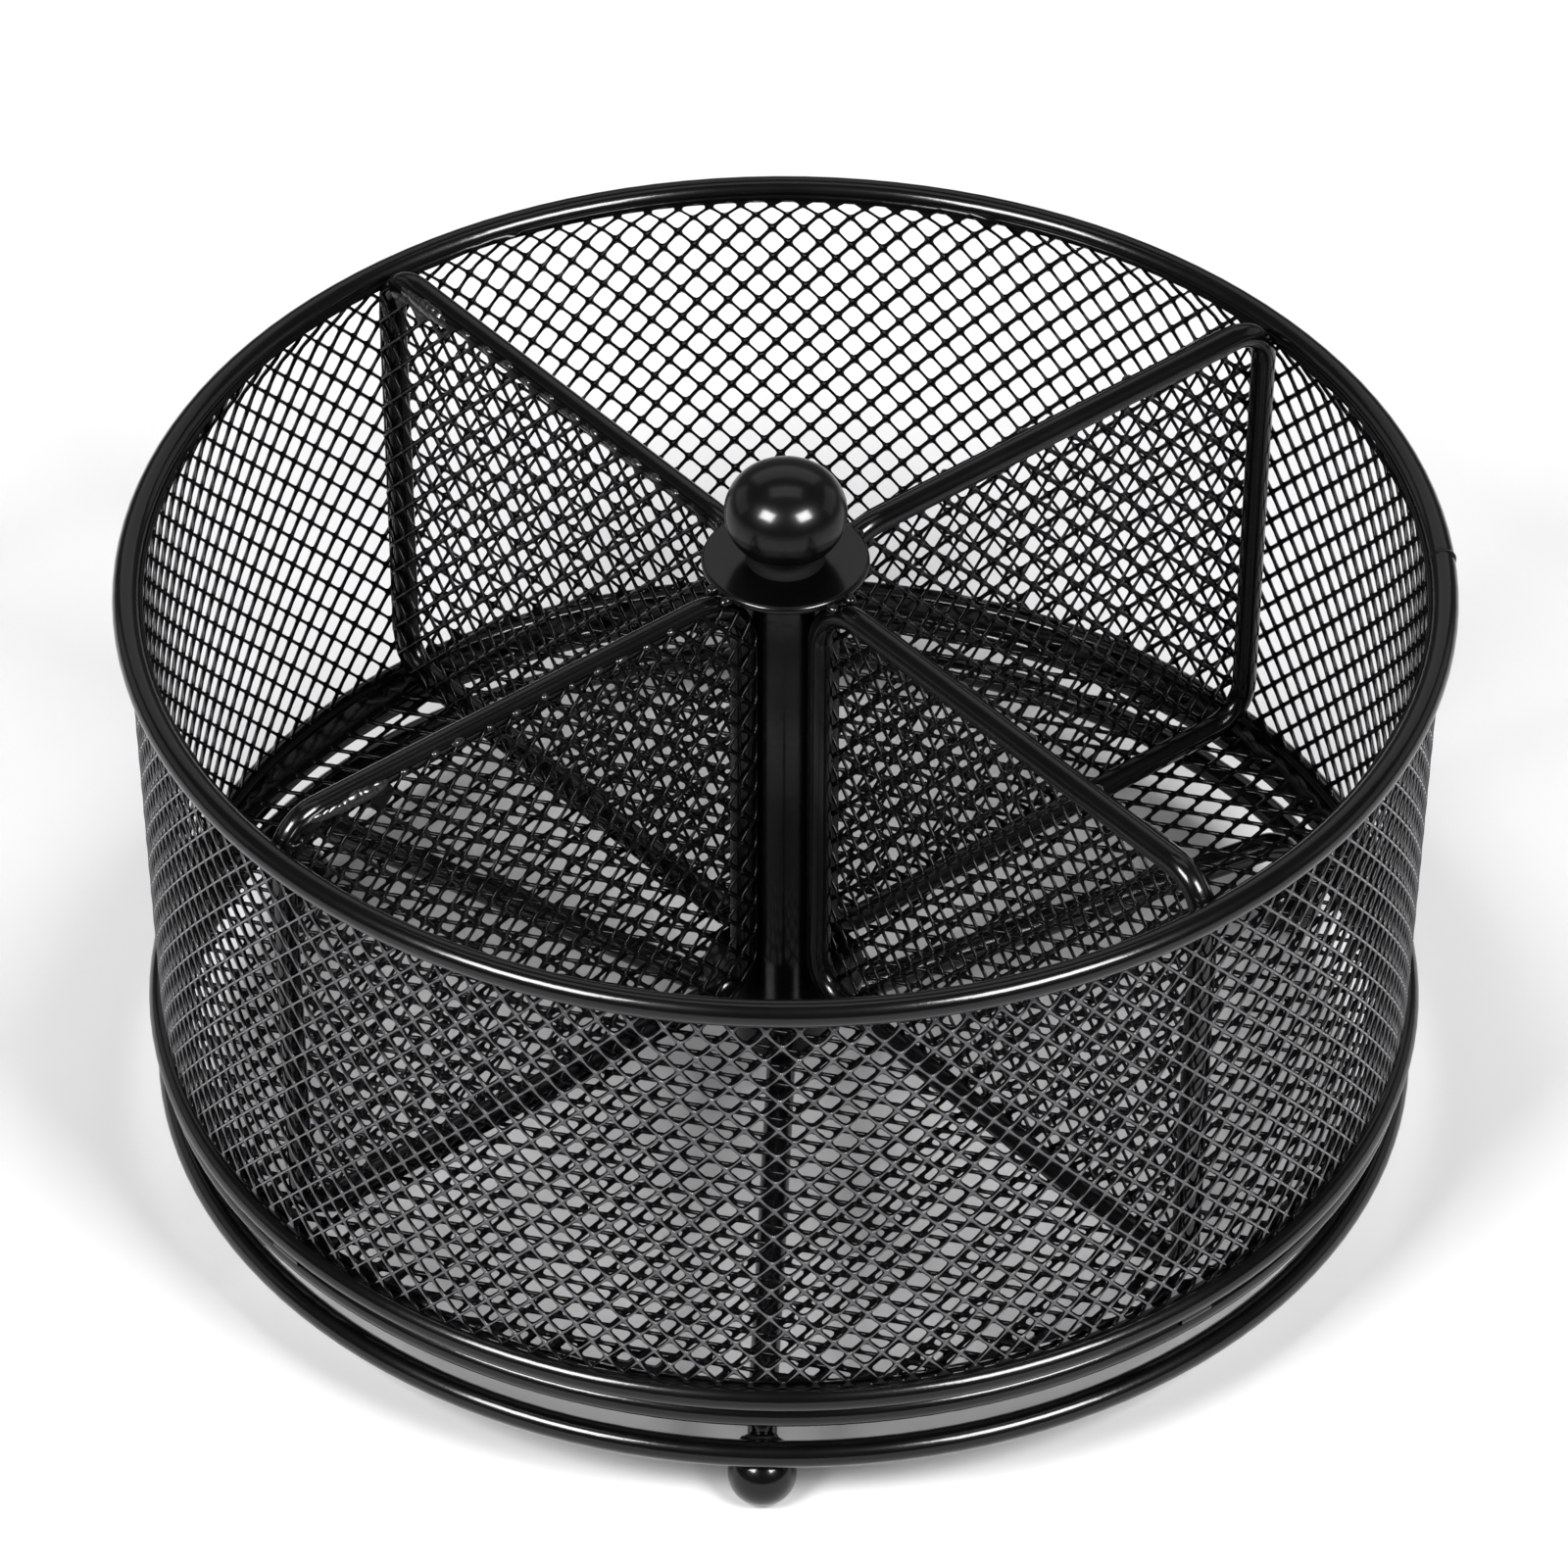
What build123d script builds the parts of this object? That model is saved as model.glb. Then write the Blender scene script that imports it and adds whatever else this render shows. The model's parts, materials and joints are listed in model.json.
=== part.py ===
"""Round mesh desk organizer that spins on a low wire base.

A tapered mesh basket with four compartments turns on a thrust bearing over a
hub with three legs. Millimetres, +Z up, origin on the standing surface under
the centre of the basket. The dividers lie along the X and Y axes at rest.
"""
import os
from math import atan2, cos, degrees, radians, sin

from build123d import *

# Driving dimensions: basket
rim_radius = 125.0
rim_height = 129.6
rim_wire = 5.2
ring_radius = 121.0
ring_wire = 5.1
wall_ring_height = 31.4
floor_ring_tuck = 14.5
mesh_thickness = 0.4
wall_top_radius = 124.4
floor_height = 32.9
floor_radius = 118.8

# Driving dimensions: dividers and centre column
divider_count = 4
frame_wire = 4.8
frame_corner = 8.0
frame_cap_corner = 12.0
frame_top = rim_height + 4.0
frame_bottom = 37.1
frame_outer_top = 120.8
frame_outer_bottom = 118.2
post_radius = 8.0
post_wall = 1.5
plate_radius = 15.8
plate_thickness = 1.4
cap_radius = 16.0
cap_thickness = 1.8
cap_edge = 0.85
cap_underside = 134.5
knob_radius = 11.7
knob_half_height = 9.6
knob_edge_radius = 8.8
knob_centre = 147.1
knob_foot_radius = 7.6
knob_waist_radius = 6.2
knob_neck_height = 3.4

# Driving dimensions: base
leg_count = 3
first_leg_angle = -11.5
leg_rod = 5.6
leg_height = 22.6
leg_bend = 7.0
base_ring_radius = 119.6
base_ring_height = 15.9
base_ring_wire = 5.2
foot_radius = 6.55
foot_centre = 6.3
foot_socket_floor = 8.0
hub_radius = 10.5
hub_bottom = 19.6
hub_edge = 0.6
hub_socket_depth = 2.5

# Driving dimensions: centre stud and thrust bearing
stud_radius = 3.0
stud_bottom = 11.6
stud_top = 146.0
stud_clearance = 0.2
hub_running_clearance = 0.05
race_thickness = 1.2
race_outer_radius = 10.0
race_inner_radius = 3.6
ball_radius = 1.5
ball_count = 10
ball_pitch_radius = 7.0
ball_clearance = 0.02
cage_thickness = 1.0
cage_inner_radius = 4.6
cage_outer_radius = 9.4
cage_pocket_clearance = 0.04
washer_radius = 6.0
washer_thickness = 1.2
washer_gap = 0.1
nut_across_flats = 10.0
nut_height = 5.6
nut_chamfer = 0.5

# Weld nuggets: section radius and the arc each one runs round the rings
weld_radius = 1.2
ring_weld_arc = 3.4
leg_weld_radius = 1.9
leg_weld_arc = 3.0

# Worked-out places
floor_ring_radius = ring_radius - ring_wire * sin(radians(floor_ring_tuck))
floor_ring_height = wall_ring_height - ring_wire * cos(radians(floor_ring_tuck))
wall_bottom = wall_ring_height + ring_wire / 2
wall_top = rim_height - rim_wire / 2
floor_top = floor_height + mesh_thickness
frame_inner = post_radius + frame_wire / 2
leg_radius = base_ring_radius - base_ring_wire / 2 - leg_rod / 2
plate_top = floor_top + plate_thickness
cap_top = cap_underside + cap_thickness
neck_top = cap_top + knob_neck_height
upper_race_bottom = floor_height - race_thickness
ball_height = upper_race_bottom - ball_clearance - ball_radius
lower_race_top = ball_height - ball_radius - ball_clearance
hub_top = lower_race_top - race_thickness
washer_top = hub_bottom - washer_gap
nut_top = washer_top - washer_thickness

divider_angles = [360 / divider_count * i for i in range(divider_count)]
leg_angles = [first_leg_angle + 360 / leg_count * i for i in range(leg_count)]


def save(part, label):
    """Name a finished piece and write it as its own STEP file."""
    part.label = label
    export_step(part, f"parts/{label}.step")


def radial_plane(angle):
    """Upright plane through the spin axis: local x runs outwards, local y runs up."""
    a = radians(angle)
    return Plane(origin=(0, 0, 0), x_dir=(cos(a), sin(a), 0), z_dir=(sin(a), -cos(a), 0))


def wire_hoop(radius, height, wire):
    """Closed round wire ring centred on the spin axis."""
    with BuildPart() as hoop:
        with BuildSketch(Plane.XZ):
            with Locations((radius, height)):
                Circle(wire / 2)
        revolve(axis=Axis.Z)
    return hoop.part


def annular_plate(outer, inner, bottom, thickness, edge=0.0):
    """Flat round plate with a central hole and optional rounded outer edges."""
    with BuildPart() as plate:
        with BuildSketch(Plane.XY.offset(bottom)):
            Circle(outer)
        extrude(amount=thickness)
        if edge > 0:
            fillet(plate.edges().filter_by(GeomType.CIRCLE), radius=edge)
        with BuildSketch(Plane.XY.offset(bottom)):
            Circle(inner)
        extrude(amount=thickness, mode=Mode.SUBTRACT)
    return plate.part


def weld_nuggets(angles, radius, height, section, arc):
    """Short arcs of weld metal at the given angles round the spin axis."""
    with BuildPart() as nuggets:
        for angle in angles:
            with BuildSketch(radial_plane(angle - arc / 2)):
                with Locations((radius, height)):
                    Circle(section)
            revolve(axis=Axis.Z, revolution_arc=arc)
    return nuggets.part


def divider_outline():
    """Closed centre-line of a divider's wire, with a wider bend where it passes under the cap."""
    return FilletPolyline(
        (frame_inner, frame_bottom),
        (frame_outer_bottom, frame_bottom),
        (frame_outer_top, frame_top),
        (frame_inner, frame_top),
        radius=(frame_corner, frame_corner, frame_corner, frame_cap_corner),
        close=True,
    )


def divider_frame(angle):
    """Closed wire frame with rounded corners."""
    with BuildPart() as frame:
        with BuildLine(radial_plane(angle)) as loop:
            divider_outline()
        with BuildSketch(Plane(origin=loop.line @ 0, z_dir=loop.line % 0)):
            Circle(frame_wire / 2)
        sweep(path=loop.line)
    return frame.part


def divider_mesh(angle):
    """Mesh panel welded to the counter-clockwise side of a divider frame."""
    side = radial_plane(angle).offset(-frame_wire / 2 - mesh_thickness)
    with BuildPart() as panel:
        with BuildSketch(side):
            with BuildLine():
                divider_outline()
            make_face()
        extrude(amount=mesh_thickness)
    return panel.part


def base_leg(angle):
    """Round rod from the hub, bent down inside the base ring into its ball foot."""
    with BuildPart() as leg:
        with BuildLine(radial_plane(angle)) as route:
            FilletPolyline(
                (hub_radius - hub_socket_depth, leg_height),
                (leg_radius, leg_height),
                (leg_radius, foot_socket_floor),
                radius=leg_bend,
            )
        with BuildSketch(Plane(origin=route.line @ 0, z_dir=route.line % 0)):
            Circle(leg_rod / 2)
        sweep(path=route.line)
    return leg.part


def ball_foot(angle):
    """Ball with a small flat under it and a blind socket for the end of a leg."""
    a = radians(angle)
    spot = (leg_radius * cos(a), leg_radius * sin(a))
    with BuildPart() as foot:
        with Locations((*spot, foot_centre)):
            Sphere(foot_radius)
        split(bisect_by=Plane.XY)
        with BuildSketch(Plane.XY.offset(foot_socket_floor)):
            with Locations(spot):
                Circle(leg_rod / 2)
        extrude(amount=foot_radius, mode=Mode.SUBTRACT)
    return foot.part


os.makedirs("parts", exist_ok=True)

# Basket shell: rim, wall, two bottom rings with the lower one tucked in under the upper, and floor
top_rim = wire_hoop(rim_radius, rim_height, rim_wire)
save(top_rim, "top_rim")

with BuildPart() as wall_mesh:
    with BuildSketch(Plane.XZ):
        with BuildLine():
            half = mesh_thickness / 2
            Polyline(
                (ring_radius - half, wall_bottom),
                (ring_radius + half, wall_bottom),
                (wall_top_radius + half, wall_top),
                (wall_top_radius - half, wall_top),
                close=True,
            )
        make_face()
    revolve(axis=Axis.Z)
save(wall_mesh.part, "wall_mesh")

save(wire_hoop(ring_radius, wall_ring_height, ring_wire), "wall_bottom_ring")
save(wire_hoop(floor_ring_radius, floor_ring_height, ring_wire), "floor_ring")
ring_seam_height = (wall_ring_height + floor_ring_height) / 2
ring_seam_radius = (ring_radius + floor_ring_radius) / 2 + weld_radius
ring_welds = weld_nuggets(divider_angles, ring_seam_radius, ring_seam_height, weld_radius, ring_weld_arc)
save(ring_welds, "ring_welds")

floor_mesh = annular_plate(floor_radius, stud_radius + stud_clearance, floor_height, mesh_thickness)
save(floor_mesh, "floor_mesh")

# Dividers
for number, angle in enumerate(divider_angles, start=1):
    save(divider_frame(angle), f"divider_frame_{number}")
    save(divider_mesh(angle), f"divider_mesh_{number}")

# Centre column
foot_plate = annular_plate(plate_radius, stud_radius + stud_clearance, floor_top, plate_thickness)
save(foot_plate, "foot_plate")

with BuildPart() as centre_post:
    with BuildSketch(Plane.XY.offset(plate_top)):
        Circle(post_radius)
        Circle(post_radius - post_wall, mode=Mode.SUBTRACT)
    extrude(amount=cap_underside - plate_top)
save(centre_post.part, "centre_post")

cap_disc = annular_plate(cap_radius, stud_radius + stud_clearance, cap_underside, cap_thickness, cap_edge)
save(cap_disc, "cap_disc")

# The ball is oblate: a small arc round its widest part, tangent to a wide crown above and below
edge_offset = knob_radius - knob_edge_radius
crown_gain = knob_half_height - knob_edge_radius
crown_radius = (edge_offset**2 + knob_half_height**2 - knob_edge_radius**2) / (2 * crown_gain)
crown_offset = crown_radius - knob_half_height
edge_angle = degrees(atan2(crown_offset, edge_offset))

with BuildPart() as knob:
    with BuildSketch(Plane.XZ):
        with BuildLine():
            lower = CenterArc((0, knob_centre + crown_offset), crown_radius, -90, 90 - edge_angle)
            CenterArc((edge_offset, knob_centre), knob_edge_radius, -edge_angle, 2 * edge_angle)
            upper = CenterArc((0, knob_centre - crown_offset), crown_radius, edge_angle, 90 - edge_angle)
            Line(upper @ 1, lower @ 0)
        make_face()
    revolve(axis=Axis.Z)
    with BuildSketch(Plane.XZ):
        with BuildLine():
            foot = (knob_foot_radius, cap_top)
            waist = (knob_waist_radius, cap_top + knob_neck_height / 3)
            shoulder = (knob_waist_radius, neck_top)
            ThreePointArc(foot, waist, shoulder)
            Polyline(shoulder, (0, neck_top), (0, cap_top), foot)
        make_face()
    revolve(axis=Axis.Z)
    with BuildSketch(Plane.XY.offset(cap_top)):
        Circle(stud_radius)
    extrude(amount=stud_top - cap_top, mode=Mode.SUBTRACT)
save(knob.part, "knob")

with BuildPart() as centre_stud:
    with BuildSketch(Plane.XY.offset(stud_bottom)):
        Circle(stud_radius)
    extrude(amount=stud_top - stud_bottom)
    chamfer(centre_stud.edges().filter_by(GeomType.CIRCLE), length=nut_chamfer)
save(centre_stud.part, "centre_stud")

# Thrust bearing between the floor and the hub
upper_race = annular_plate(race_outer_radius, race_inner_radius, upper_race_bottom, race_thickness)
save(upper_race, "bearing_upper_race")
lower_race = annular_plate(race_outer_radius, race_inner_radius, hub_top, race_thickness)
save(lower_race, "bearing_lower_race")

with BuildPart() as bearing_balls:
    with Locations((0, 0, ball_height)):
        with PolarLocations(ball_pitch_radius, ball_count):
            Sphere(ball_radius)
save(bearing_balls.part, "bearing_balls")

with BuildPart() as bearing_cage:
    with BuildSketch(Plane.XY.offset(ball_height - cage_thickness / 2)):
        Circle(cage_outer_radius)
        Circle(cage_inner_radius, mode=Mode.SUBTRACT)
        with PolarLocations(ball_pitch_radius, ball_count):
            Circle(ball_radius + cage_pocket_clearance, mode=Mode.SUBTRACT)
    extrude(amount=cage_thickness)
save(bearing_cage.part, "bearing_cage")

# Base: hub with leg sockets, legs, ring, welds and feet
with BuildPart() as base_hub:
    with BuildSketch(Plane.XY.offset(hub_bottom)):
        Circle(hub_radius)
    extrude(amount=hub_top - hub_bottom)
    fillet(base_hub.edges().filter_by(GeomType.CIRCLE), radius=hub_edge)
    with BuildSketch(Plane.XY.offset(hub_bottom)):
        Circle(stud_radius + hub_running_clearance)
    extrude(amount=hub_top - hub_bottom, mode=Mode.SUBTRACT)
    for angle in leg_angles:
        a = radians(angle)
        reach = hub_radius - hub_socket_depth
        socket = Plane(origin=(reach * cos(a), reach * sin(a), leg_height), z_dir=(cos(a), sin(a), 0))
        with BuildSketch(socket):
            Circle(leg_rod / 2)
        extrude(amount=2 * hub_socket_depth, mode=Mode.SUBTRACT)
save(base_hub.part, "base_hub")

for number, angle in enumerate(leg_angles, start=1):
    save(base_leg(angle), f"base_leg_{number}")
    save(ball_foot(angle), f"ball_foot_{number}")

save(wire_hoop(base_ring_radius, base_ring_height, base_ring_wire), "base_ring")
leg_seam_radius = base_ring_radius - base_ring_wire / 2
base_welds = weld_nuggets(leg_angles, leg_seam_radius, base_ring_height, leg_weld_radius, leg_weld_arc)
save(base_welds, "base_welds")

# Washer and lock nut under the hub, on the stud
nut_washer = annular_plate(washer_radius, stud_radius + stud_clearance, nut_top, washer_thickness)
save(nut_washer, "nut_washer")

with BuildPart() as lock_nut:
    with BuildSketch(Plane.XY.offset(nut_top - nut_height)):
        RegularPolygon(nut_across_flats / 2, 6, major_radius=False)
    extrude(amount=nut_height)
    chamfer(lock_nut.faces().sort_by(Axis.Z)[0].edges(), length=nut_chamfer)
    with BuildSketch(Plane.XY.offset(nut_top - nut_height)):
        Circle(stud_radius)
    extrude(amount=nut_height, mode=Mode.SUBTRACT)
save(lock_nut.part, "lock_nut")
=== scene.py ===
"""Looks of the spinning mesh desk organizer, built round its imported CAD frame.

The thin CAD sheets of the wall, floor and dividers are stood for by real expanded
mesh: strands, rounded openings, a flattened edge strip and cells closed by paint.
Sizes are in millimetres and turned into metres where vertices are written. Angles
that go with a part are in degrees, measured from +X.
"""

import json
import math
import random

import bmesh
import bpy
from mathutils import Matrix, Vector
from mathutils import noise as bumps
from mathutils.geometry import tessellate_polygon


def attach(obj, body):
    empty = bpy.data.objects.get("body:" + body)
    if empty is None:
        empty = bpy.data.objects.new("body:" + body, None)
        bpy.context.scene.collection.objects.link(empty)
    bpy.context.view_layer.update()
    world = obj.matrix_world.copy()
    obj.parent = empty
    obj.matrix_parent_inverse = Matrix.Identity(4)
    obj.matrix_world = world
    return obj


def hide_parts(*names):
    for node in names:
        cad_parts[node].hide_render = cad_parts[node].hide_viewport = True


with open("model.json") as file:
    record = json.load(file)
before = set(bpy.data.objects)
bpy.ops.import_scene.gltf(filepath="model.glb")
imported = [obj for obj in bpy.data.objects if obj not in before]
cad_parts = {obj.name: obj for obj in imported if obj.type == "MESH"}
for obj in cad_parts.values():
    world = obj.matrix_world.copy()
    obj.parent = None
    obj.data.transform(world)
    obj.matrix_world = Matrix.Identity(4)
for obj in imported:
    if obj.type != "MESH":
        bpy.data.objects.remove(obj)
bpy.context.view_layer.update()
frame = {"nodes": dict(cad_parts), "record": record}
nodes = frame["nodes"]
chance = random.Random(11)

MM = 0.001

# Wall: a tapered hoop of mesh that tucks in behind the rim
RIM_RADIUS, RIM_HEIGHT = 125.0, 129.6
WALL_COLUMNS = 125
WALL_LENGTH = 2 * math.pi * 123.0
WALL_PITCH = (WALL_LENGTH / WALL_COLUMNS, 6.87)
WALL_CELLS = ((0, 2 * WALL_COLUMNS), (-36, 4))
WALL_LEAN = 0.055
WALL_TOP = 130.2
WALL_BOTTOM = 32.8
WALL_FIRST_ROW = WALL_TOP - 1.2
WALL_MID_TOP = (124.2, 122.0)
WALL_MID_BOTTOM = (120.75, 33.9)
WALL_TUCK, TUCK_START, TUCK_END = 2.3, 122.5, 129.2
WALL_BAND = 1.5

# Floor: a flat disc of mesh with a hole for the stud
FLOOR_MID = 33.1
FLOOR_OUTER, FLOOR_HOLE = 118.9, 4.0
FLOOR_PITCH = (6.0, 9.1)
FLOOR_CELLS = ((-42, 43), (-30, 31))
FLOOR_TURN = math.radians(69.1)
FLOOR_BAND = 1.2

# Paint at the floor's edge: width at the front, and how much wider it is on the paint's side
PAINT_SIDE = math.radians(-19)
PAINT_CLOSED = (1.0, 4.0)
PAINT_PATCHY = (5.0, 3.0)
PATCHY_SIZES = (0.55, 0.75, 0.9, 1.0)

# Dividers: a mesh panel on one side of each wire frame
DIVIDER_ANGLES = (0, 90, 180, 270)
FRAME_INNER, FRAME_BOTTOM, FRAME_TOP = 10.4, 37.1, 133.6
FRAME_OUTER_BOTTOM, FRAME_OUTER_TOP = 118.2, 120.8
FRAME_CORNER, FRAME_CAP_CORNER = 8.0, 12.0
PANEL_PITCH = (6.4, 7.1)
PANEL_CELLS = ((-1, 42), (-1, 32))
PANEL_ORIGIN = (6.0, 34.0)
PANEL_SIDE = 2.75
PANEL_REACH, PANEL_TOP_TRIM = 2.1, 0.4
PANEL_CURL = 2.3
PANEL_BAND = 1.0
WEB_DEPTH, WEB_START = 2.5, 98.0
WEB_SIZES = (0.0, 0.4, 0.7)

# Expanded-metal strands: width in the sheet, half depth at crossings and half way along
WALL_STRAND = (0.82, 0.56, 0.46)
FLOOR_STRAND = (1.05, 0.66, 0.54)
PANEL_STRAND = (0.92, 0.46, 0.38)
EDGE_DEPTH = 0.34
CLOSED_DEPTH = 0.30
OPENING_ROUND = 0.8
ROUND_SHARE = 0.42
STRAND_TILT = 0.12
WOBBLE = 0.05
SMALLEST_OPENING = 1.6
SLIVER = 1e-7
HOLE_POINTS = 12

# Lattice points round a cell, in half strands from its centre: crossings and midway points
RIDGE = [(2, 0), (1, 1), (0, 2), (-1, 1), (-2, 0), (-1, -1), (0, -2), (1, -1)]

# Welds
RIM_SEAM = -36.0
LEG_ANGLES = (-11.5, 108.5, 228.5)
LEG_WELD_RADIUS, LEG_WELD_HEIGHT = 117.3, 16.7
CAP_WELD_RADIUS, CAP_WELD_HEIGHT = 16.0, 134.9
TACKS_START, RUN_START, RUN_END = 30.0, 95.0, 114.0
RUN_LENGTH = 20.0

# Painted highlights on the strands' edges: the mesh attribute that marks them, where the look
# changes over, how strong the painted highlight is at crossings and midway points, and how far
# from the sheet's border it starts
EDGE_MARK = "highlight_strength"
EDGE_FADE = (0.50, 0.72)
NODE_LIGHT, MIDWAY_LIGHT = 1.75, 0.88
BORDER_DARK = 1.9
WALL_LIGHT = (1.0, 0.0)
FLOOR_LIGHT = (0.32, 0.0)
PANEL_LIGHT = (0.36, 0.36)

# Heights in metres between which the knob's dull neck turns into its polished ball
NECK_FADE = (0.1390, 0.1408)

# Camera: a long lens at the photo's viewing angle; pitch and roll are in radians
CAMERA_AZIMUTH = -129.6
CAMERA_PITCH, CAMERA_ROLL = 0.6906, 0.0036
CAMERA_DISTANCE = 2311.4
CAMERA_OFF_RIGHT, CAMERA_OFF_UP = 0.145, 37.88
CAMERA_LENS, CAMERA_SENSOR = 279.9, 36.0

# Studio: half the floor's side, and where painted shade turns its paper darker, in metres
FLOOR_HALF = 6.0
SHADE_FADE = (0.6, 1.1)
AIR_LIGHT = 0.12


# ---------------------------------------------------------------- materials

def node_material(name):
    mat = bpy.data.materials.new(name)
    mat.use_nodes = True
    tree = mat.node_tree
    tree.nodes.clear()
    out = tree.nodes.new("ShaderNodeOutputMaterial")
    bsdf = tree.nodes.new("ShaderNodeBsdfPrincipled")
    tree.links.new(bsdf.outputs["BSDF"], out.inputs["Surface"])
    coords = tree.nodes.new("ShaderNodeTexCoord")
    return mat, tree, bsdf, coords.outputs["Object"]


def noise(tree, coords, scale, detail=3.0, rough=0.5):
    n = tree.nodes.new("ShaderNodeTexNoise")
    n.inputs["Scale"].default_value = scale
    n.inputs["Detail"].default_value = detail
    n.inputs["Roughness"].default_value = rough
    tree.links.new(coords, n.inputs["Vector"])
    return n.outputs["Fac"]


def ramp(tree, value, low, high, out_low, out_high):
    r = tree.nodes.new("ShaderNodeMapRange")
    r.inputs["From Min"].default_value = low
    r.inputs["From Max"].default_value = high
    r.inputs["To Min"].default_value = out_low
    r.inputs["To Max"].default_value = out_high
    tree.links.new(value, r.inputs["Value"])
    return r.outputs["Result"]


def bump(tree, heights, bsdf, also=()):
    """Chain of bumps: each entry is (height output, strength, distance in metres)."""
    normal = None
    for value, strength, distance in heights:
        b = tree.nodes.new("ShaderNodeBump")
        b.inputs["Strength"].default_value = strength
        b.inputs["Distance"].default_value = distance
        tree.links.new(value, b.inputs["Height"])
        if normal is not None:
            tree.links.new(normal, b.inputs["Normal"])
        normal = b.outputs["Normal"]
    tree.links.new(normal, bsdf.inputs["Normal"])
    for socket in also:
        tree.links.new(normal, bsdf.inputs[socket])


def two_tone(tree, value, dark, light):
    mix = tree.nodes.new("ShaderNodeMix")
    mix.data_type = "RGBA"
    mix.inputs["A"].default_value = (*dark, 1)
    mix.inputs["B"].default_value = (*light, 1)
    tree.links.new(value, mix.inputs["Factor"])
    return mix.outputs["Result"]


def fade_to(tree, value, first, second):
    """Mixes a linked colour into a plain one."""
    mix = tree.nodes.new("ShaderNodeMix")
    mix.data_type = "RGBA"
    tree.links.new(value, mix.inputs["Factor"])
    tree.links.new(first, mix.inputs["A"])
    mix.inputs["B"].default_value = (*second, 1)
    return mix.outputs["Result"]


def black_coat(name, rough_low, rough_high, coat_rough, peel, grain, base_gloss=0.10, coat=0.40):
    """Gloss black powder coat: orange-peel waviness, fine grain and slightly uneven sheen."""
    mat, tree, bsdf, co = node_material(name)
    patches = noise(tree, co, 55.0, 4.0)
    black = two_tone(tree, patches, (0.0004, 0.0004, 0.0005), (0.0010, 0.0010, 0.0011))
    tree.links.new(black, bsdf.inputs["Base Color"])
    tree.links.new(ramp(tree, patches, 0.3, 0.7, rough_low, rough_high), bsdf.inputs["Roughness"])
    bsdf.inputs["Specular IOR Level"].default_value = base_gloss
    bsdf.inputs["Coat Weight"].default_value = coat
    bsdf.inputs["Coat Roughness"].default_value = coat_rough
    wave = noise(tree, co, 420.0, 2.0)
    fine = noise(tree, co, 2600.0, 2.0)
    bump(tree, [(wave, peel, 0.00012), (fine, grain, 0.00004)], bsdf, ("Coat Normal",))
    return mat


def with_painted_highlights(mat):
    """Painted highlight on the strands' outer edges: lighter colour and more coat there. Their
    sides stay black.
    """
    tree = mat.node_tree
    bsdf = tree.nodes["Principled BSDF"]
    mark = tree.nodes.new("ShaderNodeAttribute")
    mark.attribute_name = EDGE_MARK
    coords = tree.nodes["Texture Coordinate"].outputs["Object"]
    # Uneven strength along the painted highlight
    uneven_highlight = ramp(tree, noise(tree, coords, 240.0, 3.0), 0.3, 0.7, 0.7, 1.25)
    line = tree.nodes.new("ShaderNodeMath")
    line.operation = "MULTIPLY"
    line.use_clamp = True
    tree.links.new(ramp(tree, mark.outputs["Fac"], *EDGE_FADE, 0.0, 1.0), line.inputs[0])
    tree.links.new(uneven_highlight, line.inputs[1])
    amount = line.outputs["Value"]
    black = bsdf.inputs["Base Color"].links[0].from_socket
    # Painted highlight: the marked edges get a lighter colour and more coat
    tree.links.new(fade_to(tree, amount, black, (0.032, 0.032, 0.034)), bsdf.inputs["Base Color"])
    tree.links.new(ramp(tree, amount, 0.0, 1.0, 0.12, 0.90), bsdf.inputs["Coat Weight"])
    return mat


def dull_neck(mat):
    """The polish stops short of the knob's neck, where the paint is duller."""
    tree = mat.node_tree
    bsdf = tree.nodes["Principled BSDF"]
    parts = tree.nodes.new("ShaderNodeSeparateXYZ")
    tree.links.new(tree.nodes["Texture Coordinate"].outputs["Object"], parts.inputs["Vector"])
    height = parts.outputs["Z"]
    tree.links.new(ramp(tree, height, *NECK_FADE, 0.0, 0.40), bsdf.inputs["Coat Weight"])
    tree.links.new(ramp(tree, height, *NECK_FADE, 0.75, 0.29), bsdf.inputs["Roughness"])
    return mat


def zinc():
    mat, tree, bsdf, co = node_material("zinc_plate")
    spangle = tree.nodes.new("ShaderNodeTexVoronoi")
    spangle.inputs["Scale"].default_value = 900.0
    tree.links.new(co, spangle.inputs["Vector"])
    cloud = noise(tree, co, 260.0, 5.0)
    grey = two_tone(tree, cloud, (0.36, 0.37, 0.38), (0.66, 0.66, 0.64))
    tree.links.new(grey, bsdf.inputs["Base Color"])
    bsdf.inputs["Metallic"].default_value = 1.0
    rough = ramp(tree, spangle.outputs["Distance"], 0.0, 0.7, 0.26, 0.44)
    tree.links.new(rough, bsdf.inputs["Roughness"])
    bump(tree, [(cloud, 0.2, 0.00006)], bsdf)
    return mat


def bearing_steel():
    mat, tree, bsdf, co = node_material("bearing_steel")
    marks = noise(tree, co, 1300.0, 4.0, 0.6)
    grey = two_tone(tree, marks, (0.50, 0.50, 0.51), (0.66, 0.66, 0.67))
    tree.links.new(grey, bsdf.inputs["Base Color"])
    bsdf.inputs["Metallic"].default_value = 1.0
    tree.links.new(ramp(tree, marks, 0.3, 0.7, 0.10, 0.24), bsdf.inputs["Roughness"])
    bump(tree, [(marks, 0.1, 0.00003)], bsdf)
    return mat


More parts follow.
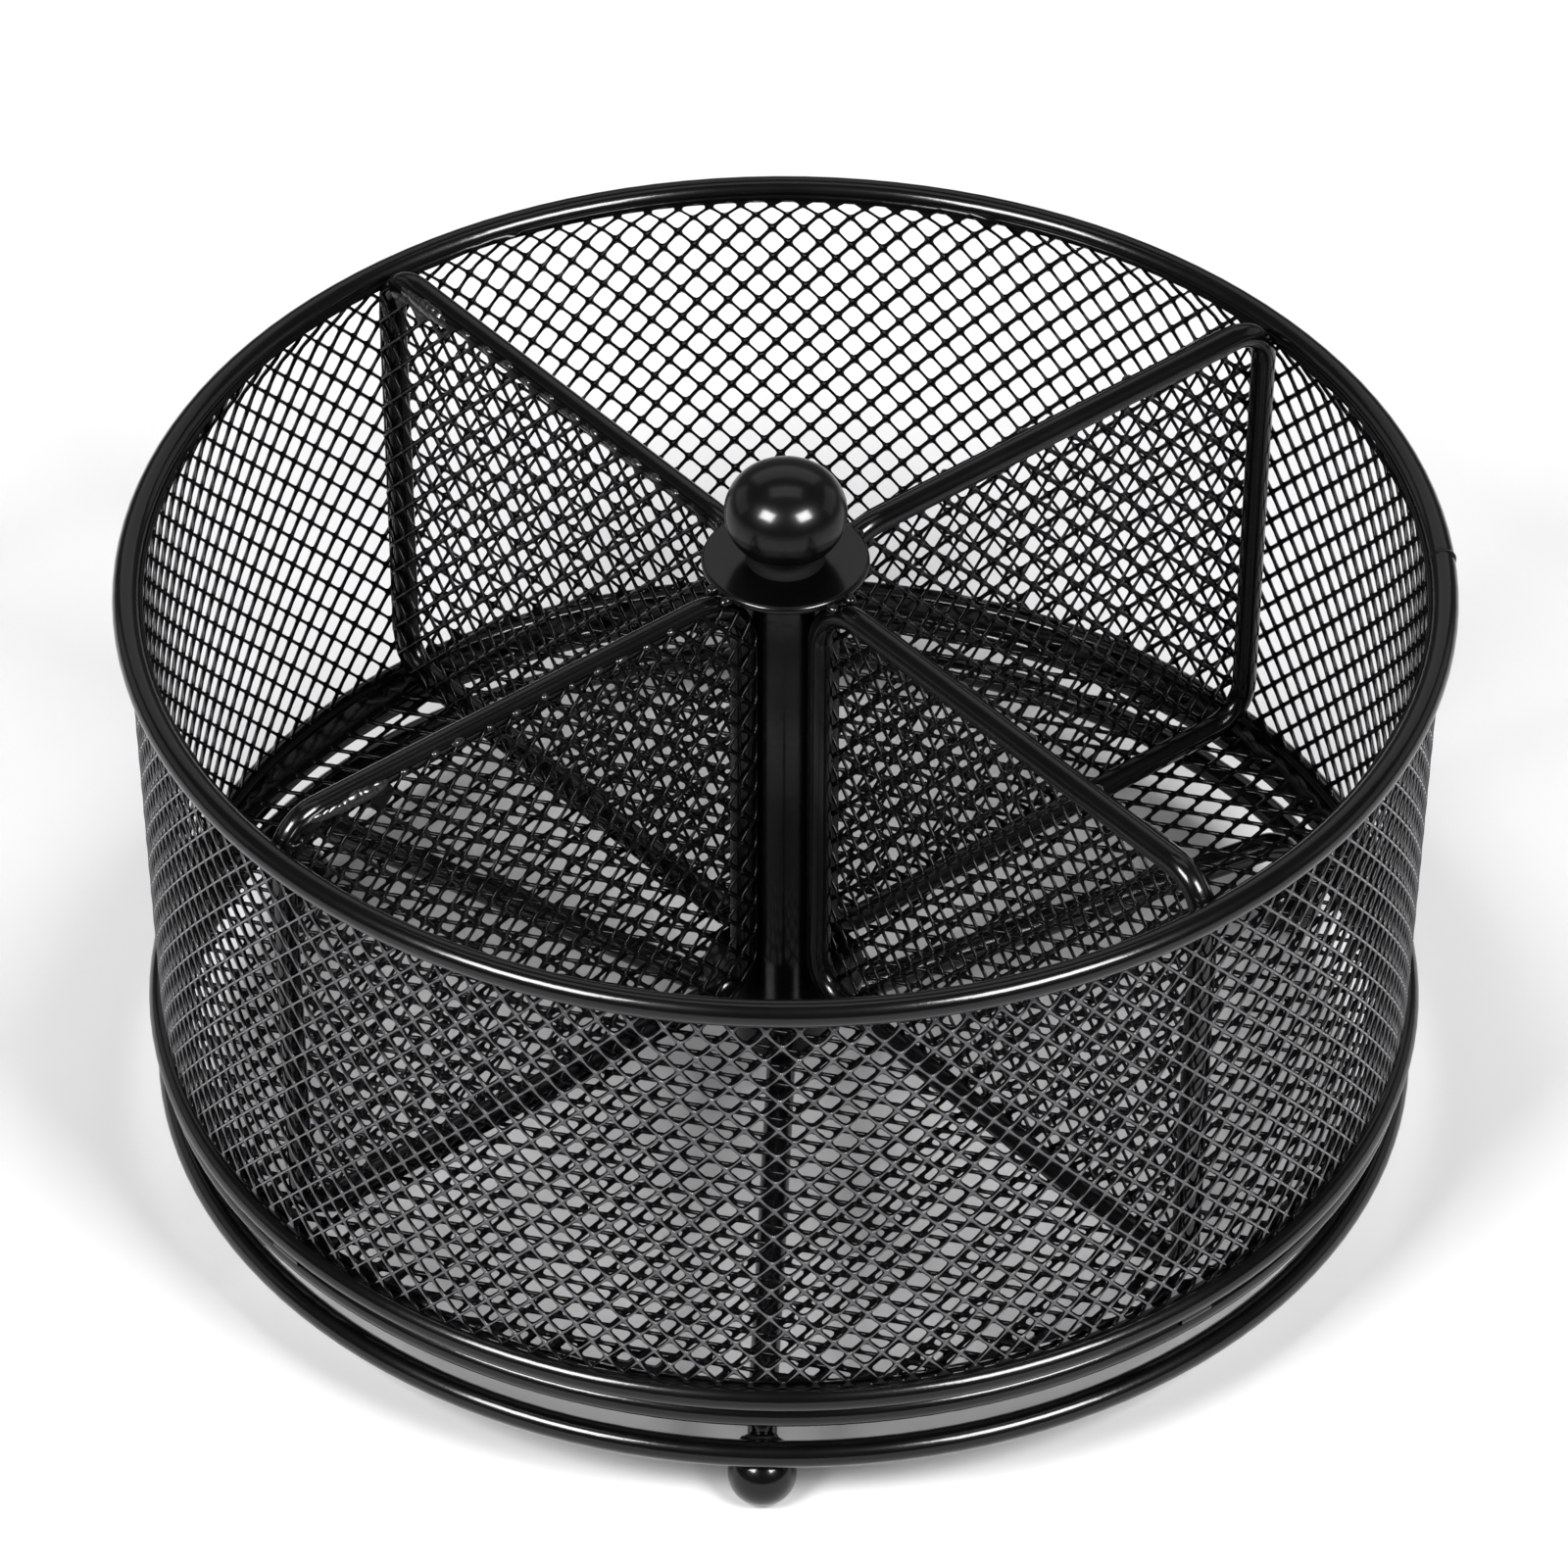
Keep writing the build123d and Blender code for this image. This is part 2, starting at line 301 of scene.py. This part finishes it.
def cage_nylon():
    mat, tree, bsdf, co = node_material("cage_nylon")
    cloud = noise(tree, co, 350.0, 4.0)
    cream = two_tone(tree, cloud, (0.68, 0.66, 0.58), (0.80, 0.79, 0.73))
    tree.links.new(cream, bsdf.inputs["Base Color"])
    tree.links.new(ramp(tree, cloud, 0.3, 0.7, 0.38, 0.52), bsdf.inputs["Roughness"])
    bsdf.inputs["Subsurface Weight"].default_value = 0.15
    bsdf.inputs["Subsurface Radius"].default_value = (0.0008, 0.0007, 0.0006)
    bump(tree, [(noise(tree, co, 1800.0, 3.0), 0.15, 0.00004)], bsdf)
    return mat


def floor_paper():
    """Pale paper with painted shade that turns it darker well away from the organizer."""
    mat, tree, bsdf, co = node_material("studio_floor")
    cloud = noise(tree, co, 3.0, 4.0)
    paper = two_tone(tree, cloud, (0.415, 0.415, 0.418), (0.425, 0.425, 0.428))
    reach = tree.nodes.new("ShaderNodeVectorMath")
    reach.operation = "LENGTH"
    tree.links.new(co, reach.inputs[0])
    # Painted shade: the paper darkens with distance from the middle
    painted_shade = ramp(tree, reach.outputs["Value"], *SHADE_FADE, 0.0, 1.0)
    tree.links.new(fade_to(tree, painted_shade, paper, (0.14, 0.14, 0.145)), bsdf.inputs["Base Color"])
    bsdf.inputs["Roughness"].default_value = 0.75
    bsdf.inputs["Specular IOR Level"].default_value = 0.2
    bump(tree, [(noise(tree, co, 700.0, 3.0), 0.04, 0.0001)], bsdf)
    return mat


MATERIALS = {
    "black_wire": black_coat("black_wire_coat", 0.20, 0.28, 0.12, 0.16, 0.06),
    # The mesh coat carries painted highlights along the strands' edges
    "black_mesh": with_painted_highlights(
        black_coat("black_mesh_coat", 0.18, 0.28, 0.14, 0.30, 0.16, 0.06)),
    "black_knob": dull_neck(black_coat("black_knob_coat", 0.26, 0.32, 0.16, 0.08, 0.03)),
    "zinc_hardware": zinc(),
    "bearing_steel": bearing_steel(),
    "cage_nylon": cage_nylon(),
}
WELD_COAT = black_coat("black_weld_coat", 0.26, 0.36, 0.24, 0.45, 0.25, 0.2, 0.9)
SLOT_OF = {s["node"]: s["material_slot"] for s in frame["record"]["subparts"]}
for name, obj in nodes.items():
    obj.data.materials.clear()
    obj.data.materials.append(MATERIALS[SLOT_OF[name]])


# ---------------------------------------------------------------- mesh helpers

def new_object(name, verts, faces, slot, body="basket", marks=None, finish=None):
    """A visible piece on one body. marks gives some vertices a painted highlight strength, by
    vertex number.
    """
    mesh = bpy.data.meshes.new(name)
    mesh.from_pydata([tuple(c * MM for c in v) for v in verts], [], faces)
    mesh.validate()
    mesh.polygons.foreach_set("use_smooth", [True] * len(mesh.polygons))
    if marks:
        layer = mesh.attributes.new(EDGE_MARK, "FLOAT", "POINT")
        layer.data.foreach_set("value", [marks.get(k, 0.0) for k in range(len(verts))])
    mesh.materials.append(finish or MATERIALS[slot])
    obj = bpy.data.objects.new(name, mesh)
    bpy.context.scene.collection.objects.link(obj)
    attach(obj, body)
    return obj


def on_cylinder(radius_at, length):
    """Places a flat lattice point on a tapered wall: u runs round, v is the height."""
    turn = 2 * math.pi / length

    def place(u, v, h):
        a = u * turn
        r = radius_at(v) + h
        return (r * math.cos(a), r * math.sin(a), v)

    return place


def on_floor(turn, height):
    """Places a flat lattice point on the floor, with the lattice turned about the middle."""
    c, s = math.cos(turn), math.sin(turn)

    def place(u, v, h):
        return (u * c - v * s, u * s + v * c, height + h)

    return place


def on_divider(angle, side, inside):
    """Places a panel beside its wire frame, with the border curled over the wire."""
    a = math.radians(angle)
    c, s = math.cos(a), math.sin(a)

    def place(u, v, h):
        over = min(max(PANEL_REACH - inside(u, v), 0.0), PANEL_CURL)
        w = math.sqrt(side * side - over * over) + h
        return (u * c - w * s, u * s + w * c, v)

    return place


def rounded_outline(corners, radii):
    """Signed distance inwards from a four-sided outline.

    The corners run counter-clockwise, with one radius each.
    """
    sides = []
    for (x0, y0), (x1, y1) in zip(corners, corners[1:] + corners[:1]):
        length = math.hypot(x1 - x0, y1 - y0)
        nx, ny = -(y1 - y0) / length, (x1 - x0) / length
        sides.append((nx, ny, nx * x0 + ny * y0))

    def inside(u, v):
        gaps = [nx * u + ny * v - c for nx, ny, c in sides]
        depth = min(gaps)
        for k, radius in enumerate(radii):
            before, after = gaps[k - 1], gaps[k]
            if before < radius and after < radius:
                depth = min(depth, radius - math.hypot(radius - before, radius - after))
        return depth

    return inside


def hole_outline(pitch_u, pitch_v, strand):
    """Points round a rounded rhombus opening, counter-clockwise from its +u corner."""
    a, b = pitch_u / 2, pitch_v / 2
    slant = math.hypot(a, b)
    a1 = a - strand / 2 * slant / b
    b1 = b - strand / 2 * slant / a
    length = math.hypot(a1, b1)
    half_u, half_v = math.atan2(b1, a1), math.atan2(a1, b1)
    round_u = min(OPENING_ROUND, ROUND_SHARE * length * math.tan(half_u))
    round_v = min(OPENING_ROUND, ROUND_SHARE * length * math.tan(half_v))
    cut_u, cut_v = round_u / math.tan(half_u), round_v / math.tan(half_v)
    tip_u = a1 - round_u * (1 / math.sin(half_u) - 1)
    tip_v = b1 - round_v * (1 / math.sin(half_v) - 1)
    near_u = (a1 - cut_u * a1 / length, cut_u * b1 / length)
    near_v = (cut_v * a1 / length, b1 - cut_v * b1 / length)
    quarter = [(tip_u, 0.0), near_u, near_v, (0.0, tip_v)]
    loop = list(quarter)
    loop += [(-x, y) for x, y in reversed(quarter[:3])]
    loop += [(-x, -y) for x, y in quarter[1:]]
    loop += [(x, -y) for x, y in (quarter[2], quarter[1])]
    return loop


def loop_area(loop):
    return sum(a[0] * b[1] - b[0] * a[1] for a, b in zip(loop, loop[1:] + loop[:1])) / 2


def between(p, q, t):
    return p[0] + (q[0] - p[0]) * t, p[1] + (q[1] - p[1]) * t


def expanded_mesh(name, pitch, strand, cells, inside, place, slot, origin=(0.0, 0.0), columns=0,
                  lean=0.0, band=1.4, fill=None, light_edges=(0.0, 0.0)):
    """Expanded metal: rhombic openings cut through a sheet of diamond-section strands.

    cells gives the range of cells along u and v. inside(u, v) is the distance in from the
    sheet's border, and cells that cross it are clipped, with a closed band along it.
    fill(u, v) gives each opening's size: 1 open, 0 closed by paint. With columns the sheet is
    a closed hoop whose rows climb two pitches in one turn; lean slants its columns.
    light_edges says how strong the painted highlight on the strands' edges is on the +h and -h
    faces.
    """
    pitch_u, pitch_v = pitch
    half_u, half_v = pitch_u / 4, pitch_v / 4
    turn_steps = 4 * columns
    rise = 8 * half_v / turn_steps if columns else 0.0
    if columns:
        half_u += 8 * lean / turn_steps
    hole = hole_outline(pitch_u, pitch_v, strand[0])
    verts, faces, index, marks = [], [], {}, {}

    def flat(i, j):
        return origin[0] + i * half_u + j * lean, origin[1] + j * half_v + i * rise

    def same_spot(i, j):
        """One name for a lattice point, however many turns round the hoop it was reached by."""
        turns = i // turn_steps if columns else 0
        return i - turns * turn_steps, j + turns * 8

    def ridge_vertex(i, j, side):
        """The strand's outer edge at a lattice point, on one face of the sheet."""
        key = (*same_spot(i, j), side)
        if key not in index:
            crossing = i % 2 == 0
            depth = strand[1] if crossing else strand[2]
            u, v = flat(i, j)
            index[key] = len(verts)
            # Painted highlight strength for this edge, held off near the sheet's border
            light = light_edges[0 if side > 0 else 1] * (NODE_LIGHT if crossing else MIDWAY_LIGHT)
            clear_of_border = min(max((inside(u, v) - BORDER_DARK) / BORDER_DARK, 0.0), 1.0)
            marks[len(verts)] = light * clear_of_border
            verts.append(place(u, v, side * depth))
        return index[key]

    def cut_vertex(p, q, side):
        """Where the line between two lattice points crosses the sheet's border."""
        key = (*sorted((same_spot(*p), same_spot(*q))), side)
        if key not in index:
            start, end = flat(*p), flat(*q)
            low, high = 0.0, 1.0
            starts_inside = inside(*start) > 0
            for _ in range(12):
                t = (low + high) / 2
                if (inside(*between(start, end, t)) > 0) == starts_inside:
                    low = t
                else:
                    high = t
            index[key] = len(verts)
            verts.append(place(*between(start, end, (low + high) / 2), side * EDGE_DEPTH))
        return index[key]

    def pushed_in(u, v, margin):
        """Moves a point inwards until it is the margin away from the border."""
        e = 0.01
        for _ in range(3):
            d = inside(u, v)
            if d >= margin:
                break
            gu = (inside(u + e, v) - inside(u - e, v)) / (2 * e)
            gv = (inside(u, v + e) - inside(u, v - e)) / (2 * e)
            size = math.hypot(gu, gv) or 1.0
            u += gu / size * (margin - d)
            v += gv / size * (margin - d)
        return u, v

    def add(face, side):
        faces.append(face if side > 0 else tuple(reversed(face)))

    def opening(cu, cv):
        """The cell's opening as a loop of points, or nothing where it is closed."""
        size = 1.0 if fill is None else fill(cu, cv)
        shift_u, shift_v = (chance.uniform(-WOBBLE, WOBBLE) for _ in range(2))
        if size <= 0:
            return []
        loop = [(cu + x * size + shift_u * size, cv + y * size + shift_v * size)
                for x, y in hole]
        if min(inside(*p) for p in loop) < band:
            loop = [pushed_in(u, v, band) for u, v in loop]
            if loop_area(loop) < SMALLEST_OPENING or inside(cu, cv) < band - pitch_v * 0.2:
                return []
        return loop

    def open_cell(around, ring, side):
        ridge = [ridge_vertex(*p, side) for p in around]
        for q in range(4):
            n0, m, n1 = ridge[2 * q], ridge[2 * q + 1], ridge[(2 * q + 2) % 8]
            h0, h1, h2, h3 = (ring[(3 * q + k) % HOLE_POINTS] for k in range(4))
            for face in ((n0, h1, h0), (n0, m, h1), (m, h2, h1), (m, n1, h2), (n1, h3, h2)):
                add(face, side)

    def closed_cell(around, cu, cv, side):
        ridge = [ridge_vertex(*p, side) for p in around]
        centre = len(verts)
        verts.append(place(cu, cv, side * CLOSED_DEPTH))
        for k in range(8):
            add((ridge[k], ridge[(k + 1) % 8], centre), side)

    def border_cell(around, state, loop, ring, side):
        """Fills the part of a cell inside the border. Returns the edges that lie along it."""
        outer, where, cuts = [], [], []
        for k in range(8):
            p, q = around[k], around[(k + 1) % 8]
            if state[k]:
                outer.append(ridge_vertex(*p, side))
                where.append(flat(*p))
            if state[k] != state[(k + 1) % 8]:
                outer.append(cut_vertex(p, q, side))
                if state[k]:
                    cuts.append(len(outer) - 1)
                start, end = flat(*p), flat(*q)
                d0, d1 = inside(*start), inside(*end)
                where.append(between(start, end, d0 / (d0 - d1)))
        shape = [[Vector((u, v, 0)) for u, v in where]]
        if loop:
            shape.append([Vector((u, v, 0)) for u, v in loop])
        ids = outer + ring
        points = [p for part in shape for p in part]
        for a, b, c in tessellate_polygon(shape):
            turn = (points[b] - points[a]).cross(points[c] - points[a]).z
            if abs(turn) < SLIVER:
                continue
            add((ids[a], ids[b], ids[c]) if turn > 0 else (ids[a], ids[c], ids[b]), side)
        return [(outer[k], outer[(k + 1) % len(outer)]) for k in cuts]

    for ci in range(*cells[0]):
        for cj in range(*cells[1]):
            if (ci + cj) % 2:
                continue
            around = [(2 * ci + di, 2 * cj + dj) for di, dj in RIDGE]
            state = [inside(*flat(*p)) > 0 for p in around]
            if not any(state):
                continue
            cu, cv = flat(2 * ci, 2 * cj)
            loop = opening(cu, cv)
            ring = list(range(len(verts), len(verts) + len(loop)))
            verts.extend(place(u, v, STRAND_TILT * (v - cv) / (pitch_v / 2)) for u, v in loop)
            borders = []
            for side in (1, -1):
                if not all(state):
                    borders.append(border_cell(around, state, loop, ring, side))
                elif loop:
                    open_cell(around, ring, side)
                else:
                    closed_cell(around, cu, cv, side)
            if borders:
                for (a, b), (c, d) in zip(*borders):
                    faces.append((b, a, c, d))
    return new_object(name, verts, faces, slot, marks=marks)


# ---------------------------------------------------------------- basket wall, floor and dividers

def wall_mid(z):
    """Middle radius of the wall: leans out to the rim, then tucks in behind it."""
    (top_radius, top), (bottom_radius, bottom) = WALL_MID_TOP, WALL_MID_BOTTOM
    slope = (top_radius - bottom_radius) / (top - bottom)
    t = min(max((z - TUCK_START) / (TUCK_END - TUCK_START), 0.0), 1.0)
    return bottom_radius + slope * (z - bottom) - WALL_TUCK * t * t * (3 - 2 * t)


wall = expanded_mesh(
    "wall_expanded_mesh", WALL_PITCH, WALL_STRAND, WALL_CELLS,
    lambda u, v: min(WALL_TOP - v, v - WALL_BOTTOM),
    on_cylinder(wall_mid, WALL_LENGTH), "black_mesh", origin=(0.0, WALL_FIRST_ROW),
    columns=WALL_COLUMNS, lean=WALL_LEAN, band=WALL_BAND, light_edges=WALL_LIGHT)
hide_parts("wall_mesh")


def floor_fill(u, v):
    """Paint closes some cells at the floor's edge, over a wider band on one side."""
    r = math.hypot(u, v)
    towards = 0.5 + 0.5 * math.cos(math.atan2(v, u) - PAINT_SIDE)
    if r > FLOOR_OUTER - PAINT_CLOSED[0] - PAINT_CLOSED[1] * towards:
        return 0.0
    if r > FLOOR_OUTER - PAINT_PATCHY[0] - PAINT_PATCHY[1] * towards:
        return chance.choice(PATCHY_SIZES)
    return 1.0


floor_mesh = expanded_mesh(
    "floor_expanded_mesh", FLOOR_PITCH, FLOOR_STRAND, FLOOR_CELLS,
    lambda u, v: min(FLOOR_OUTER - math.hypot(u, v), math.hypot(u, v) - FLOOR_HOLE),
    on_floor(FLOOR_TURN, FLOOR_MID), "black_mesh", band=FLOOR_BAND, fill=floor_fill,
    light_edges=FLOOR_LIGHT)
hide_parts("floor_mesh")

panel_lean = (FRAME_OUTER_TOP - FRAME_OUTER_BOTTOM) / (FRAME_TOP - FRAME_BOTTOM)
panel_top = FRAME_TOP + PANEL_REACH - PANEL_TOP_TRIM
panel_corners = [
    (FRAME_INNER - PANEL_REACH, FRAME_BOTTOM - PANEL_REACH),
    (FRAME_OUTER_BOTTOM + PANEL_REACH - panel_lean * PANEL_REACH, FRAME_BOTTOM - PANEL_REACH),
    (FRAME_OUTER_TOP + PANEL_REACH + panel_lean * PANEL_REACH, panel_top),
    (FRAME_INNER - PANEL_REACH, panel_top),
]
frame_radii = (FRAME_CORNER, FRAME_CORNER, FRAME_CORNER, FRAME_CAP_CORNER)
panel_inside = rounded_outline(panel_corners, [r + PANEL_REACH for r in frame_radii])


def panel_fill(u, v):
    """Paint webs over the cells next to the top wire at its outer end."""
    if v > FRAME_TOP - WEB_DEPTH and u > WEB_START:
        return chance.choice(WEB_SIZES)
    return 1.0


for number, angle in enumerate(DIVIDER_ANGLES, start=1):
    shift = (chance.uniform(-2, 2), chance.uniform(-2, 2))
    panel = expanded_mesh(
        f"divider_{number}_expanded_mesh", PANEL_PITCH, PANEL_STRAND, PANEL_CELLS,
        panel_inside, on_divider(angle, PANEL_SIDE, panel_inside), "black_mesh",
        origin=(PANEL_ORIGIN[0] + shift[0], PANEL_ORIGIN[1] + shift[1]),
        band=PANEL_BAND, fill=panel_fill, light_edges=PANEL_LIGHT)
    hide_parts(f"divider_mesh_{number}")


# ---------------------------------------------------------------- weld beads

def weld_beads(name, spots, body, finish=None):
    """Lumpy painted weld metal.

    Each spot: angle, radius, sideways, height and three half sizes (outwards, sideways, up).
    """
    verts, faces = [], []
    for angle, radius, sideways, height, (size_r, size_t, size_z) in spots:
        a = math.radians(angle)
        c, s = math.cos(a), math.sin(a)
        seed = Vector((chance.uniform(0, 50), chance.uniform(0, 50), chance.uniform(0, 50)))
        ball = bmesh.new()
        detail = 3 if size_r > 1.2 else 2
        bmesh.ops.create_icosphere(ball, subdivisions=detail, radius=1.0)
        start = len(verts)
        for v in ball.verts:
            coarse, fine = bumps.noise(v.co * 1.7 + seed), bumps.noise(v.co * 4.5 + seed)
            lump = 1 + 0.13 * coarse + 0.05 * fine
            r = radius + v.co.x * size_r * lump
            t = sideways + v.co.y * size_t * lump
            verts.append((r * c - t * s, r * s + t * c, height + v.co.z * size_z * lump))
        faces.extend(tuple(start + v.index for v in f.verts) for f in ball.faces)
        ball.free()
    return new_object(name, verts, faces, "black_wire", body, finish=finish)


cap_spots = []
for angle in DIVIDER_ANGLES:
    for side in (-1, 1):
        cap_spots.append((
            angle, CAP_WELD_RADIUS + chance.uniform(-0.3, 0.5), side * chance.uniform(1.9, 2.4),
            CAP_WELD_HEIGHT + chance.uniform(-0.3, 0.2), (1.5, 1.1, 1.0)))
weld_beads("cap_weld_beads", cap_spots, "basket")

# Each strand end is tacked to the top wire, with a continuous run near the outer corner
tack_spots = []
for angle in DIVIDER_ANGLES:
    along = TACKS_START
    while along < RUN_START:
        tack_spots.append((
            angle, along, 2.4, FRAME_TOP + chance.uniform(0.4, 1.1),
            (chance.uniform(0.8, 1.6), 0.75, 0.7)))
        along += PANEL_PITCH[0] * chance.uniform(0.8, 1.2)
    while along < RUN_END:
        swell = 0.55 + 0.45 * math.sin(math.pi * (along - RUN_START) / RUN_LENGTH)
        tack_spots.append((
            angle, along, 2.0 + chance.uniform(-0.1, 0.1), FRAME_TOP - chance.uniform(0.0, 0.3),
            (2.6, 1.6 * swell, 1.7 * swell)))
        along += chance.uniform(1.3, 1.8)
weld_beads("panel_tack_welds", tack_spots, "basket", WELD_COAT)

seam_spots = [(RIM_SEAM, RIM_RADIUS, 0.0, RIM_HEIGHT, (2.74, 1.7, 2.72))]
weld_beads("rim_seam_weld", seam_spots, "basket")
leg_spots = [(angle, LEG_WELD_RADIUS, 0.0, LEG_WELD_HEIGHT, (1.9, 4.4, 1.7))
             for angle in LEG_ANGLES]
weld_beads("leg_weld_beads", leg_spots, "base")


# ---------------------------------------------------------------- studio

def area_light(name, azimuth, elevation, distance, size, radiance, aim=(0, 0, 0.08)):
    """Soft panel facing the organizer. Azimuth is in degrees from the camera's side."""
    a = math.radians(CAMERA_AZIMUTH + azimuth)
    e = math.radians(elevation)
    direction = Vector((math.cos(a) * math.cos(e), math.sin(a) * math.cos(e), math.sin(e)))
    light = bpy.data.lights.new(name, "AREA")
    light.shape = "RECTANGLE"
    light.size, light.size_y = size
    light.energy = radiance * math.pi * size[0] * size[1]
    lamp = bpy.data.objects.new(name, light)
    lamp.location = Vector(aim) + direction * distance
    lamp.rotation_mode = "QUATERNION"
    lamp.rotation_quaternion = direction.to_track_quat("Z", "Y")
    bpy.context.scene.collection.objects.link(lamp)


area_light("soft_left", -44, 42, 3.0, (1.2, 1.05), 49.0)
area_light("soft_right", 44, 42, 3.0, (1.2, 1.05), 49.0)
area_light("side_left", -112, 18, 3.0, (2.4, 1.4), 0.5)
area_light("side_right", 112, 18, 3.0, (2.4, 1.4), 0.5)
area_light("backdrop", 180, 38, 3.0, (3.6, 1.5), 0.65)
area_light("ceiling", 180, 78, 2.2, (1.6, 0.7), 1.3)

world = bpy.data.worlds.new("studio_air")
world.use_nodes = True
air = world.node_tree.nodes["Background"]
air.inputs["Color"].default_value = (1, 1, 1, 1)
air.inputs["Strength"].default_value = AIR_LIGHT
bpy.context.scene.world = world

plane = bpy.data.meshes.new("studio_floor")
plane.from_pydata([(-FLOOR_HALF, -FLOOR_HALF, 0), (FLOOR_HALF, -FLOOR_HALF, 0),
                   (FLOOR_HALF, FLOOR_HALF, 0), (-FLOOR_HALF, FLOOR_HALF, 0)],
                  [], [(0, 1, 2, 3)])
plane.materials.append(floor_paper())
studio_floor = bpy.data.objects.new("studio_floor", plane)
bpy.context.scene.collection.objects.link(studio_floor)

# The camera looks at the rim's centre, moved a little so that the frame sits as in the photo
azimuth = math.radians(CAMERA_AZIMUTH)
sin_pitch, cos_pitch = math.sin(CAMERA_PITCH), math.cos(CAMERA_PITCH)
sin_roll, cos_roll = math.sin(CAMERA_ROLL), math.cos(CAMERA_ROLL)
right = Vector((-math.sin(azimuth), math.cos(azimuth), 0))
back = Vector((math.cos(azimuth) * cos_pitch, math.sin(azimuth) * cos_pitch, sin_pitch))
up = Vector((-math.cos(azimuth) * sin_pitch, -math.sin(azimuth) * sin_pitch, cos_pitch))
spot = (Vector((0, 0, RIM_HEIGHT)) + back * CAMERA_DISTANCE
        - right * CAMERA_OFF_RIGHT - up * CAMERA_OFF_UP)
right, up = right * cos_roll + up * sin_roll, up * cos_roll - right * sin_roll
camera_data = bpy.data.cameras.new("camera")
camera_data.sensor_width = CAMERA_SENSOR
camera_data.lens = CAMERA_LENS
camera_data.clip_start, camera_data.clip_end = 0.1, 20.0
camera = bpy.data.objects.new("camera", camera_data)
camera.matrix_world = Matrix((
    (right.x, up.x, back.x, spot.x * MM),
    (right.y, up.y, back.y, spot.y * MM),
    (right.z, up.z, back.z, spot.z * MM),
    (0, 0, 0, 1)))
bpy.context.scene.collection.objects.link(camera)
bpy.context.scene.camera = camera
bpy.context.scene.view_settings.view_transform = "Standard"
bpy.context.scene.view_settings.look = "None"
